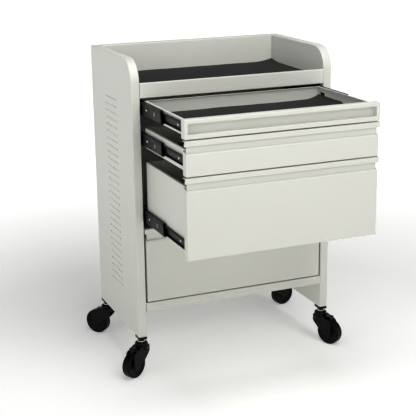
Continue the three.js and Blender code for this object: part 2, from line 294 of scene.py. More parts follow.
# ---------------------------------------------------------------- outlines
def rounded(corners: list[Corner], inset: float = 0.0) -> list[Point]:
    """Draws a convex polygon with rounded corners, drawn in from its edge.

    Args:
        corners: Each corner with its radius, anticlockwise.
        inset: How far in from the edge; a negative one lies outside it.

    Returns:
        The outline's points, as many for any inset.
    """
    count = len(corners)
    points = [Vector(c[:2]) for c in corners]
    along = [(points[(i + 1) % count] - points[i]).normalized() for i in range(count)]
    inwards = [Vector((-d.y, d.x)) for d in along]
    drawn = []
    for i, corner in enumerate(corners):
        before = along[i - 1]
        after = along[i]
        half_turn = math.acos(max(-1.0, min(1.0, before.dot(after)))) / 2
        bisector = (inwards[i - 1] + inwards[i]).normalized()
        tip = points[i] + bisector * (inset / math.cos(half_turn))
        radius = max(corner[2] - inset, SHARPEST_CORNER)
        steps = BROAD_STEPS if corner[2] > BROAD_CORNER else FOLD_STEPS
        centre = tip + bisector * (radius / math.cos(half_turn))
        start = math.atan2(-inwards[i - 1].y, -inwards[i - 1].x)
        for step in range(steps + 1):
            angle = start + 2 * half_turn * step / steps
            drawn.append((centre.x + radius * math.cos(angle), centre.y + radius * math.sin(angle)))
    return drawn


def rectangle(u0: float, u1: float, v0: float, v1: float, radius: float) -> list[Corner]:
    """The corners of a rectangle, anticlockwise, each with the same radius."""
    return [(u0, v0, radius), (u1, v0, radius), (u1, v1, radius), (u0, v1, radius)]


def rectangle_outline(u0: float, u1: float, v0: float, v1: float) -> list[Point]:
    """A plain rectangle's outline, anticlockwise."""
    return [(u0, v0), (u1, v0), (u1, v1), (u0, v1)]


def filleted(points: list[Point], radius: float) -> list[Point]:
    """Rounds the inner corners of an open line.

    Args:
        points: The line's corners.
        radius: The radius of each bend, which shrinks where a stretch is too short for it.

    Returns:
        The line with its bends.
    """
    bent = [points[0]]
    for i in range(1, len(points) - 1):
        here = Vector(points[i])
        back = Vector(points[i - 1]) - here
        on = Vector(points[i + 1]) - here
        half = back.angle(on) / 2
        reach = min(radius / math.tan(half), LONGEST_BEND_SHARE * min(back.length, on.length))
        fitted = reach * math.tan(half)
        start = here + back.normalized() * reach
        end = here + on.normalized() * reach
        centre = here + (back.normalized() + on.normalized()).normalized() * (fitted / math.sin(half))
        first = start - centre
        sweep = first.angle_signed(end - centre)
        for step in range(FOLD_STEPS + 1):
            turned = first.copy()
            turned.rotate(Matrix.Rotation(-sweep * step / FOLD_STEPS, 2))
            bent.append((centre.x + turned.x, centre.y + turned.y))
    bent.append(points[-1])
    return bent


def strip_outline(points: list[Point], thickness: float = SHEET, bend: float = FOLD - SKIN) -> list[Point]:
    """The closed outline of a folded strip seen from its end.

    Args:
        points: The corners of the strip's middle line.
        thickness: The strip's thickness.
        bend: The radius of the middle line at each fold.

    Returns:
        The outline's points.
    """
    line = [Vector(p) for p in filleted(points, bend)]
    left = []
    right = []
    for i, here in enumerate(line):
        arriving = (here - line[i - 1]).normalized() if i else (line[1] - here).normalized()
        leaving = (line[i + 1] - here).normalized() if i + 1 < len(line) else arriving
        across = Vector((-arriving.y - leaving.y, arriving.x + leaving.x)).normalized()
        across *= thickness / 2 / max(LEAST_MITRE, across.dot(Vector((-leaving.y, leaving.x))))
        left.append(tuple(here + across))
        right.append(tuple(here - across))
    return left + right[::-1]


def pan_section(depth: float, flange: float = 0.0, fold: float = FOLD) -> list[Point]:
    """The section of a folded pan from the face's outside to its inside.

    Args:
        depth: The height of the pan's wall, outside.
        flange: The width of the flange folded in at the wall's end, or zero for a plain edge.
        fold: The outer radius of each fold.

    Returns:
        Pairs of inset from the outline and depth behind the face.
    """
    inner = fold - SHEET
    unfold = QUARTER_TURN[::-1]
    face_fold = [(fold - fold * math.sin(a), fold - fold * math.cos(a)) for a in QUARTER_TURN]
    face_fold_inside = [(fold - inner * math.sin(a), fold - inner * math.cos(a)) for a in unfold]
    if not flange:
        return face_fold + [(0.0, depth), (SHEET, depth)] + face_fold_inside
    bend = depth - fold
    end_fold = [(fold - fold * math.cos(a), bend + fold * math.sin(a)) for a in QUARTER_TURN]
    edge = [(flange, depth), (flange, depth - SHEET)]
    end_fold_inside = [(fold - inner * math.cos(a), bend + inner * math.sin(a)) for a in unfold]
    return face_fold + end_fold + edge + end_fold_inside + face_fold_inside


def along_x(y: float, z: float, x: float) -> Vector:
    """A place in a section seen from the chest's side and pushed along X."""
    return Vector((x, y, z))


# ---------------------------------------------------------------- pieces
class Workpiece:
    """A piece being made: closed shells in millimetres that end up in one mesh."""

    def __init__(self) -> None:
        """Starts an empty piece."""
        self.mesh = bmesh.new()

    def loft(self, rings: list[list[Vector]], capped: bool = True, looped: bool = False) -> Workpiece:
        """Skins a row of rings.

        Args:
            rings: Rings with as many points each.
            capped: Whether the first and last ring are closed with a face.
            looped: Whether the last ring joins the first.

        Returns:
            The piece itself.
        """
        rows = [[self.mesh.verts.new(point) for point in ring] for ring in rings]
        pairs = list(zip(rows, rows[1:]))
        if looped:
            pairs.append((rows[-1], rows[0]))
        for near, far in pairs:
            for i in range(len(near)):
                j = (i + 1) % len(near)
                self.mesh.faces.new((near[i], near[j], far[j], far[i]))
        if capped and not looped:
            self.mesh.faces.new(rows[0][::-1])
            self.mesh.faces.new(rows[-1])
        return self

    def prism(self, outline: list[Point], place: Place, start: float, end: float) -> Workpiece:
        """Pushes an outline from one depth to another; place turns its values and a depth into a place."""
        return self.loft([[place(u, v, depth) for u, v in outline] for depth in (start, end)])

    def pan(self, corners: list[Corner], section: list[Point], place: Place) -> Workpiece:
        """Folds a pan, whose face has these corners and whose wall has a section from pan_section."""
        rings = [[place(u, v, depth) for u, v in rounded(corners, inset)] for inset, depth in section]
        return self.loft(rings)

    def turned(self, profile: list[Point], place: Place, segments: int = 40) -> Workpiece:
        """Turns a profile of radius and height round an axis.

        Args:
            profile: The profile, closed on itself or from pole to pole.
            place: Turns two values across the axis and a height into a place.
            segments: The number of sides.

        Returns:
            The piece itself.
        """
        angles = [2 * math.pi * i / segments for i in range(segments)]
        rings = [[place(r * math.cos(a), r * math.sin(a), h) for a in angles] for r, h in profile]
        return self.loft(rings, capped=False, looped=profile[0][0] > 0)

    def piece(self, name: str, finish: Finish, bevel: float = 0.0) -> bpy.types.Object:
        """Closes the seams, turns the faces outwards and makes the object.

        Args:
            name: The piece's name.
            finish: What it is coated with or moulded in.
            bevel: The radius that a Bevel modifier gives its sharp edges, or zero for none.

        Returns:
            The piece, in metres.
        """
        bmesh.ops.remove_doubles(self.mesh, verts=self.mesh.verts, dist=SEAM)
        bmesh.ops.recalc_face_normals(self.mesh, faces=self.mesh.faces)
        bmesh.ops.scale(self.mesh, vec=(MM, MM, MM), verts=self.mesh.verts)
        data = bpy.data.meshes.new(name)
        self.mesh.to_mesh(data)
        self.mesh.free()
        made = add_object(name, data)
        data.materials.append(finish.material())
        if bevel:
            rounding = made.modifiers.new("edge_rounding", "BEVEL")
            rounding.width = bevel * MM
            rounding.segments = BEVEL_STEPS
            rounding.limit_method = "ANGLE"
            rounding.angle_limit = BEVEL_ANGLE
        smooth(made)
        return made


def smooth(made: bpy.types.Object) -> None:
    """Shades folds smooth and edges sharp, with flat faces kept flat beside their folds.

    Args:
        made: The piece.
    """
    made.data.shade_smooth()
    made.data.set_sharp_from_angle(angle=SMOOTH_ANGLE)
    if not made.modifiers.get("flat_faces"):
        weighted = made.modifiers.new("flat_faces", "WEIGHTED_NORMAL")
        weighted.keep_sharp = True


def frozen(made: bpy.types.Object) -> bpy.types.Object:
    """Turns a piece's evaluated modifiers into its plain mesh.

    Args:
        made: A piece with modifiers.

    Returns:
        The same piece, with none.
    """
    bpy.context.view_layer.update()
    evaluated = made.evaluated_get(bpy.context.evaluated_depsgraph_get())
    plain = bpy.data.meshes.new_from_object(evaluated)
    made.modifiers.clear()
    made.data = plain
    return made


def settle(made: bpy.types.Object, body: str, replaced: tuple[str, ...] = ()) -> bpy.types.Object:
    """Hands a finished piece to the frame.

    Args:
        made: The piece, in its place.
        body: The CAD body that it moves with.
        replaced: The CAD nodes that it stands for.

    Returns:
        The piece itself.
    """
    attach(made, body)
    if replaced:
        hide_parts(*replaced)
    log.info("%s rides on %s", made.name, body)
    return made


# ---------------------------------------------------------------- Geometry Nodes for what repeats
class Repeats:
    """Geometry Nodes trees for punched holes, fasteners and bearing balls."""

    hole_sides: int = 14
    # One arm of a screw's cross recess, as shares of the head's radius, radius and height.
    blade: tuple[float, float, float] = (1.1, 0.26, 1.0)

    @staticmethod
    def tree(name: str, **inputs: str) -> tuple[bpy.types.NodeTree, bpy.types.Node]:
        """Starts a tree with named inputs, between its geometry and its material.

        Args:
            name: The tree's name.
            **inputs: The type of each input, by its name with underscores.

        Returns:
            The tree and its Group Input node.
        """
        tree = bpy.data.node_groups.new(name, "GeometryNodeTree")
        for label, kind in {"Geometry": "Geometry", **inputs, "Material": "Material"}.items():
            label = label.replace("_", " ")
            tree.interface.new_socket(label, in_out="INPUT", socket_type=f"NodeSocket{kind}")
        tree.interface.new_socket("Geometry", in_out="OUTPUT", socket_type="NodeSocketGeometry")
        return tree, add_node(tree, "NodeGroupInput")

    @staticmethod
    def end(tree: bpy.types.NodeTree, given: bpy.types.Node, geometry: bpy.types.NodeSocket) -> None:
        """Ends a tree in real, coated geometry.

        Args:
            tree: The tree.
            given: Its Group Input node.
            geometry: What the tree has made.
        """
        real = add_node(tree, "GeometryNodeRealizeInstances", {"Geometry": geometry})
        coated = add_node(tree, "GeometryNodeSetMaterial", {
            "Geometry": real.outputs["Geometry"], "Material": given.outputs["Material"]})
        add_node(tree, "NodeGroupOutput", {"Geometry": coated.outputs["Geometry"]})

    @classmethod
    @cache
    def punched_holes(cls) -> bpy.types.NodeTree:
        """A rectangular field of round holes through a sheet that faces along X.

        Returns:
            The tree, made once.
        """
        tree, given = cls.tree(
            "punched_holes", Columns="Int", Rows="Int", Column_Pitch="Float", Row_Pitch="Float",
            Hole_Radius="Float", Punch_Length="Float", Centre="Vector")
        spans = []
        for count, pitch in (("Columns", "Column Pitch"), ("Rows", "Row Pitch")):
            steps = add_node(tree, "ShaderNodeMath", {0: given.outputs[count], 1: 1.0}, operation="SUBTRACT")
            span = add_node(tree, "ShaderNodeMath", {
                0: steps.outputs[0], 1: given.outputs[pitch]}, operation="MULTIPLY")
            spans.append(span.outputs[0])
        field_points = add_node(tree, "GeometryNodeMeshGrid", {
            "Size X": spans[1], "Size Y": spans[0],
            "Vertices X": given.outputs["Rows"], "Vertices Y": given.outputs["Columns"]})
        punch = add_node(tree, "GeometryNodeMeshCylinder", {
            "Vertices": cls.hole_sides, "Radius": given.outputs["Hole Radius"],
            "Depth": given.outputs["Punch Length"]})
        punches = add_node(tree, "GeometryNodeInstanceOnPoints", {
            "Points": field_points.outputs["Mesh"], "Instance": punch.outputs["Mesh"]})
        real = add_node(tree, "GeometryNodeRealizeInstances", {"Geometry": punches.outputs["Instances"]})
        stood = add_node(tree, "GeometryNodeTransform", {
            "Geometry": real.outputs["Geometry"], "Translation": given.outputs["Centre"],
            "Rotation": (0.0, math.radians(90), 0.0)})
        cut = add_node(tree, "GeometryNodeMeshBoolean", {
            "Mesh 1": given.outputs["Geometry"], "Mesh 2": stood.outputs["Geometry"]},
            operation="DIFFERENCE", solver="EXACT")
        cls.end(tree, given, cut.outputs["Mesh"])
        return tree

    @classmethod
    @cache
    def fasteners(cls, head: Head) -> bpy.types.NodeTree:
        """Heads on a set of points, each turned to the point's facing.

        Args:
            head: The kind of head.

        Returns:
            The tree, made once for each kind.
        """
        tree, given = cls.tree(head.value, Head_Radius="Float", Head_Height="Float")
        ball = add_node(tree, "GeometryNodeMeshUVSphere", {"Segments": 16, "Rings": 10, "Radius": 1.0})
        size = add_node(tree, "ShaderNodeCombineXYZ", {
            "X": given.outputs["Head Radius"], "Y": given.outputs["Head Radius"],
            "Z": given.outputs["Head Height"]})
        dome = add_node(tree, "GeometryNodeTransform", {
            "Geometry": ball.outputs["Mesh"], "Scale": size.outputs["Vector"]})
        shaped = dome.outputs["Geometry"]
        if head is Head.SCREW:
            lift = add_node(tree, "ShaderNodeCombineXYZ", {"Z": given.outputs["Head Height"]})
            for turn in (0.0, math.radians(90)):
                blade = add_node(tree, "GeometryNodeMeshCube", {"Size": cls.blade})
                raised = add_node(tree, "GeometryNodeTransform", {
                    "Geometry": blade.outputs["Mesh"], "Scale": size.outputs["Vector"],
                    "Rotation": (0.0, 0.0, turn), "Translation": lift.outputs["Vector"]})
                recess = add_node(tree, "GeometryNodeMeshBoolean", {
                    "Mesh 1": shaped, "Mesh 2": raised.outputs["Geometry"]},
                    operation="DIFFERENCE", solver="EXACT")
                shaped = recess.outputs["Mesh"]
        facing = add_node(tree, "GeometryNodeInputNamedAttribute", {"Name": "facing"},
                          data_type="FLOAT_VECTOR")
        turned = add_node(tree, "FunctionNodeAlignRotationToVector", {
            "Vector": facing.outputs["Attribute"]}, axis="Z")
        heads = add_node(tree, "GeometryNodeInstanceOnPoints", {
            "Points": given.outputs["Geometry"], "Instance": shaped, "Rotation": turned.outputs["Rotation"]})
        cls.end(tree, given, heads.outputs["Instances"])
        return tree

    @classmethod
    @cache
    def bearing_balls(cls) -> bpy.types.NodeTree:
        """One ball on each point.

        Returns:
            The tree, made once.
        """
        tree, given = cls.tree("bearing_balls", Ball_Radius="Float")
        ball = add_node(tree, "GeometryNodeMeshUVSphere", {
            "Segments": 8, "Rings": 5, "Radius": given.outputs["Ball Radius"]})
        balls = add_node(tree, "GeometryNodeInstanceOnPoints", {
            "Points": given.outputs["Geometry"], "Instance": ball.outputs["Mesh"]})
        cls.end(tree, given, balls.outputs["Instances"])
        return tree

    @staticmethod
    def run(made: bpy.types.Object, tree: bpy.types.NodeTree, values: dict[str, object]) -> bpy.types.Object:
        """Runs a tree on a piece and keeps the result as its plain mesh.

        Args:
            made: The piece, or the points, that the tree works on.
            tree: The tree.
            values: A value for each named input.

        Returns:
            The piece with its new mesh.
        """
        made.modifiers.clear()
        modifier = made.modifiers.new(tree.name, "NODES")
        modifier.node_group = tree
        for item in tree.interface.items_tree:
            if item.in_out == "INPUT" and item.name in values:
                modifier[item.identifier] = values[item.name]
        frozen(made)
        smooth(made)
        return made

    @staticmethod
    def points(name: str, places: list[Vector], facing: Vector) -> bpy.types.Object:
        """Loose points for a tree to work on.

        Args:
            name: The object's name.
            places: Where the points are, in millimetres.
            facing: The way that all of them face.

        Returns:
            The points as an object.
        """
        data = bpy.data.meshes.new(name)
        data.from_pydata([place * MM for place in places], [], [])
        turned = data.attributes.new("facing", "FLOAT_VECTOR", "POINT")
        for item in turned.data:
            item.vector = facing
        return add_object(name, data)

    @classmethod
    def heads(cls, name: str, head: Head, places: list[Vector], facing: Vector,
              size: Point) -> bpy.types.Object:
        """Makes a set of zinc-plated rivets or screws, whose heads have this radius and height."""
        return cls.run(cls.points(name, places, facing), cls.fasteners(head), {
            "Head Radius": size[0] * MM, "Head Height": size[1] * MM, "Material": BRIGHT_ZINC.material()})


# ---------------------------------------------------------------- the cabinet's panels
@dataclass
class SidePanel:
    """A hollow side: an outer pan with a rounded front corner, closed by a liner."""

    side: Side
    corner_radius: float = 62.0
    edge_radius: float = 3.2
    fold: float = 3.0
    flange: float = 9.0
    liner_chamfer: float = 0.4
    columns: int = 5
    rows: int = 28
    column_pitch: float = 21.0
    row_pitch: float = 20.03
    hole_radius: float = 2.8
    lowest_hole: float = 229.5
    box: Box = field(init=False)

    def __post_init__(self) -> None:
        """Reads the panel's place."""
        self.box = Box.of(f"{self.side.label}_side_shell")

    def corners(self) -> list[Corner]:
        """The panel's outline in Y and Z."""
        b = self.box
        return rectangle(b.y0, b.y1, b.z0, b.z1, self.edge_radius)[:3] + [(b.y0, b.z1, self.corner_radius)]

    def place(self, y: float, z: float, depth: float) -> Vector:
        """A place that lies a depth in from the panel's outer face."""
        outer = self.box.x0 if self.side is Side.LEFT else self.box.x1
        return Vector((outer - self.side.value * depth, y, z))

    def build(self) -> None:
        """Makes the punched shell and its liner."""
        thickness = self.box.x1 - self.box.x0
        section = pan_section(thickness, self.flange, self.fold)
        shell = Workpiece().pan(self.corners(), section, self.place)
        shell = shell.piece(f"{self.side.label}_side_skin", ENAMEL)
        middle = self.place(
            self.box.middle.y, self.lowest_hole + (self.rows - 1) * self.row_pitch / 2, SKIN)
        Repeats.run(shell, Repeats.punched_holes(), {
            "Columns": self.columns, "Rows": self.rows, "Column Pitch": self.column_pitch * MM,
            "Row Pitch": self.row_pitch * MM, "Hole Radius": self.hole_radius * MM,
            "Punch Length": SHEET * 3 * MM, "Centre": middle * MM, "Material": ENAMEL.material()})
        settle(shell, "cabinet", (f"{self.side.label}_side_shell",))
        edge = self.flange + GAP
        liner = Workpiece().pan(self.corners(), [
            (edge + self.liner_chamfer, thickness), (edge, thickness - self.liner_chamfer),
            (edge, thickness - SHEET)], self.place).piece(f"{self.side.label}_side_inner_skin", ENAMEL)
        settle(liner, "cabinet", (f"{self.side.label}_side_liner",))


@dataclass
class Back:
    """The back: a pan that opens to the rear, with a screwed cover."""

    edge_radius: float = 3.2
    fold: float = 3.0
    screw_head: Point = (3.6, 1.6)
    screw_sink: float = 0.2
    screw_inset: float = 16.0
    screw_rows: int = 5

    def build(self) -> None:
        """Makes the pan and the cover's screws, and coats the cover."""
        b = Box.of("back_panel")
        pan = Workpiece()
        pan.pan(rectangle(b.x0, b.x1, b.z0, b.z1, self.edge_radius),
                pan_section(b.y1 - b.y0, 0.0, self.fold), lambda x, z, depth: Vector((x, b.y0 + depth, z)))
        settle(pan.piece("back_pan", ENAMEL), "cabinet", ("back_panel",))
        cover = Box.of("back_cover")
        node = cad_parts["back_cover"]
        for slot in node.material_slots:
            slot.material = ENAMEL.material()
        low = cover.z0 + self.screw_inset
        pitch = (cover.z1 - cover.z0 - 2 * self.screw_inset) / (self.screw_rows - 1)
        columns = (cover.x0 + self.screw_inset, cover.middle.x, cover.x1 - self.screw_inset)
        heights = [low + pitch * row for row in range(self.screw_rows)]
        places = [Vector((x, cover.y1 - self.screw_sink, z)) for x in columns for z in heights]
        screws = Repeats.heads("back_cover_screws", Head.SCREW, places, Vector((0, 1, 0)), self.screw_head)
        settle(screws, "cabinet")


@dataclass
class Worktop:
    """The worktop: one sheet folded into a stiffener, the front apron, a rim and a sunken floor."""

    stiffener: float = 18.0
    rim: float = 6.0
    floor_drop: float = 22.0

    def build(self) -> None:
        """Makes the folded sheet."""
        b = Box.of("worktop_tray")
        front = b.y0 + SKIN
        low = b.z0 + SKIN
        high = b.z1 - SKIN
        floor = high - self.floor_drop
        fold = strip_outline([
            (b.y0 + self.stiffener, low), (front, low), (front, high),
            (b.y0 + self.rim, high), (b.y0 + self.rim, floor), (b.y1, floor)])
        tray = Workpiece().prism(fold, along_x, b.x0, b.x1).piece("worktop_folded_tray", ENAMEL)
        settle(tray, "cabinet", ("worktop_tray",))


@dataclass
class BasePan:
    """The base: one sheet folded into a stiffener, the front rail, the floor and a rear upstand."""

    stiffener: float = 18.0

    def build(self) -> None:
        """Makes the folded sheet."""
        b = Box.of("base_pan")
        front = b.y0 + SKIN
        rear = b.y1 - SKIN
        low = b.z0 + SKIN
        high = b.z1 - SKIN
        fold = strip_outline([
            (b.y0 + self.stiffener, high), (front, high), (front, low), (rear, low), (rear, high)])
        pan = Workpiece().prism(fold, along_x, b.x0, b.x1).piece("base_folded_pan", ENAMEL)
        settle(pan, "cabinet", ("base_pan",))


@dataclass
class Curl:
    """Where a mat's edge or corner lifts: the height falls off over a reach in each direction.

    An edge lifts evenly over a stretch to each side of its middle before it falls off along Y.
    """

    x: float
    y: float
    lift: float
    reach_x: float
    reach_y: float
    even_y: float = 0.0

    def height(self, x: float, y: float) -> float:
        """How far the mat is lifted at a place.

        Args:
            x: The place across the chest.
            y: The place from front to rear.

        Returns:
            The lift, in millimetres.
        """
        beyond = max(0.0, abs(y - self.y) - self.even_y) / self.reach_y
        off = math.hypot((x - self.x) / self.reach_x, beyond)
        return self.lift * max(0.0, 1 - off) ** 2


@dataclass
class Mat:
    """A loose foam-rubber mat, with the slow waves and lifted corners of a sheet that came off a roll."""

    node: str
    body: str
    rests_on: str
    wave: float
    phase: float
    curls: list[Curl] = field(default_factory=list)
    swell: Point = (41.0, 33.0)
    ripple: Point = (19.0, 47.0)
    swell_share: float = 0.35
    ripple_share: float = 0.15
    columns: int = 90
    rows: int = 54

    def rise(self, x: float, y: float) -> float:
        """How far the mat stands off its floor at a place.

        Args:
            x: The place across the chest.
            y: The place from front to rear.

        Returns:
            The height of its waves and curls, in millimetres.
        """
        swell = math.sin(x / self.swell[0] + self.phase) * math.sin(y / self.swell[1] + 1.3 * self.phase)
        ripple = math.sin(x / self.ripple[0] + y / self.ripple[1] + 2.1 * self.phase)
        waves = self.wave * (0.5 + self.swell_share * swell + self.ripple_share * ripple)
        return waves + max((curl.height(x, y) for curl in self.curls), default=0.0)

    def build(self) -> None:
        b = Box.of(self.node)
        piece = Workpiece()
        across = [b.x0 + (b.x1 - b.x0) * i / self.columns for i in range(self.columns + 1)]
        along = [b.y0 + (b.y1 - b.y0) * j / self.rows for j in range(self.rows + 1)]
        add_corner = piece.mesh.verts.new
        add_face = piece.mesh.faces.new
        low, high = [
            [[add_corner((x, y, level + self.rise(x, y))) for y in along] for x in across]
            for level in (b.z0, b.z1)]
        for grid in (low, high):
            for i in range(self.columns):
                for j in range(self.rows):
                    add_face((grid[i][j], grid[i + 1][j], grid[i + 1][j + 1], grid[i][j + 1]))
        for i in (0, self.columns):
            for j in range(self.rows):
                add_face((low[i][j], low[i][j + 1], high[i][j + 1], high[i][j]))
        for j in (0, self.rows):
            for i in range(self.columns):
                add_face((low[i][j], low[i + 1][j], high[i + 1][j], high[i][j]))
        made = piece.piece(self.node.replace("_mat", "_foam_mat"), MAT_RUBBER)
        settle(made, self.body, (self.node,))


# ---------------------------------------------------------------- drawers and their slides
@dataclass
class Drawer:
    """One drawer: a box with folded rims, and a front."""

    number: int
    rim: float = 6.0
    corner: float = 3.0
    box_fold: float = 2.0

    @property
    def name(self) -> str:
        """The drawer's name, which its body has too."""
        return f"drawer_{self.number}"

    def build(self) -> None:
        """Makes the box and the front."""
        self.build_box()
        settle(self.front(), self.name, (f"{self.name}_front",))

    def build_box(self) -> None:
        """Makes the drawer's box: a pan whose walls end in a flange folded inwards."""
        b = Box.of(f"{self.name}_tray")
        tray = Workpiece()
        tray.pan(rectangle(b.x0, b.x1, b.y0, b.y1, self.corner),
                 pan_section(b.z1 - b.z0, self.rim, self.box_fold),
                 lambda x, y, depth: Vector((x, y, b.z0 + depth)))
        made = tray.piece(f"{self.name}_box", ENAMEL)
        self.finish_box(made)
        settle(made, self.name, (f"{self.name}_tray",))

    def finish_box(self, made: bpy.types.Object) -> None:
        """Smooths the folded box; the shallow drawer also cuts its service notches."""
        smooth(made)

    def front(self) -> bpy.types.Object:
        """Makes the drawer's front, which each kind of drawer folds in its own way."""
        raise NotImplementedError


@dataclass
class RecessedDrawer(Drawer):
    """The shallow drawer, whose front is let in as a long tray to pull it by."""

    depth: float = 16.0
    top_margin: float = 11.0
    bottom_margin: float = 12.0
    end_margin: float = 10.0
    roll: float = 2.0
    notch_from_rear: float = 10.0
    notch_length: float = 26.0
    notch_height: float = 14.0
    notch_bottom: float = 11.0
    cutter_reach: float = 5.0

    def finish_box(self, made: bpy.types.Object) -> None:
        """Cuts the service notch through both side walls.

        Args:
            made: The drawer's box.
        """
        b = Box.of(f"{self.name}_tray")
        rear = b.y1 - self.notch_from_rear
        low = b.z0 + self.notch_bottom
        window = rectangle(rear - self.notch_length, rear, low, low + self.notch_height, self.corner)
        cutter = Workpiece().prism(
            rounded(window), along_x, b.x0 - self.cutter_reach, b.x1 + self.cutter_reach)
        cutter = cutter.piece("notch_cutter", ENAMEL)
        cut = made.modifiers.new("service_notch", "BOOLEAN")
        cut.object = cutter
        cut.operation = "DIFFERENCE"
        cut.solver = "EXACT"
        frozen(made)
        bpy.data.objects.remove(cutter)
        smooth(made)

    def front(self) -> bpy.types.Object:
        """Makes the recessed front.

        Returns:
            The front.
        """
        b = Box.of(f"{self.name}_front")
        face = rectangle(b.x0, b.x1, b.z0, b.z1, self.corner)
        pull = rectangle(b.x0 + self.end_margin, b.x1 - self.end_margin, b.z0 + self.bottom_margin,
                         b.z1 - self.top_margin, self.corner)
        unroll = QUARTER_TURN[::-1]
        roll = self.roll
        inside = roll - SHEET
        wall = roll + SHEET
        floor = [(roll - roll * math.sin(a), self.depth - roll + roll * math.cos(a)) for a in QUARTER_TURN]
        mouth = [(-roll + roll * math.cos(a), roll - roll * math.sin(a)) for a in QUARTER_TURN]
        back_mouth = [(-roll + inside * math.cos(a), roll - inside * math.sin(a)) for a in unroll]
        back_floor = [(roll - wall * math.sin(a), self.depth - roll + wall * math.cos(a)) for a in unroll]

        def ring(corners: list[Corner], inset: float, depth: float) -> list[Vector]:
            """One ring of the front's skin."""
            return [Vector((x, b.y0 + depth, z)) for x, z in rounded(corners, inset)]

        rings = [ring(pull, inset, depth) for inset, depth in floor + mouth]
        rings += [ring(face, inset, depth) for inset, depth in pan_section(b.y1 - b.y0, 0.0)]
        rings += [ring(pull, inset, depth) for inset, depth in back_mouth + back_floor]
        return Workpiece().loft(rings).piece(f"{self.name}_recessed_front", ENAMEL)


@dataclass
class LippedDrawer(Drawer):
    """A deep drawer, whose front folds back into a channel and a lip to pull it by."""

    lip: float = 14.7
    hem: float = 3.8
    hook: float = 8.0
    top_depth: float = 15.0
    channel: float = 6.0
    channel_inset: float = 6.0
    slope: float = 10.0
    slope_fade: int = 8
    face_drop: float = 36.0
    face_inset: float = 3.0
    face_corner: float = 1.6
    face_fold: float = 1.5

    def front(self) -> bpy.types.Object:
        """Makes the face, with returns all round, and the channel and lip above it.

        Returns:
            The front.
        """
        b = Box.of(f"{self.name}_front")
        face_top = b.z1 - self.face_drop

        def place(x: float, z: float, depth: float) -> Vector:
            """Finds a place behind the face, whose top return slopes up to the channel.

            Args:
                x: The place across the chest.
                z: The height on the face.
                depth: How far behind the face.

            Returns:
                The place in the chest's frame.
            """
            share = max(0.0, min(1.0, (z - b.z0) / (face_top - b.z0)))
            rise = self.slope * min(depth / self.channel, 1.0) * share ** self.slope_fade
            return Vector((x, b.y0 + depth, z + rise))

        piece = Workpiece()
        piece.pan(rectangle(b.x0 + self.face_inset, b.x1 - self.face_inset, b.z0, face_top, self.face_corner),
                  pan_section(b.y1 - b.y0, 0.0, self.face_fold), place)
        high = b.z1 - SKIN
        low = b.z1 - self.lip
        fold = strip_outline([
            (b.y0 + self.top_depth, high), (b.y0 + SKIN, high), (b.y0 + SKIN, low + SKIN),
            (b.y0 + self.hem, low + SKIN), (b.y0 + self.hem, low + self.hook)])
        piece.prism(fold, along_x, b.x0, b.x1)
        back = rectangle_outline(b.y0 + self.channel, b.y0 + self.channel + SHEET, face_top, high)
        piece.prism(back, along_x, b.x0 + self.channel_inset, b.x1 - self.channel_inset)
        return piece.piece(f"{self.name}_lipped_front", ENAMEL)


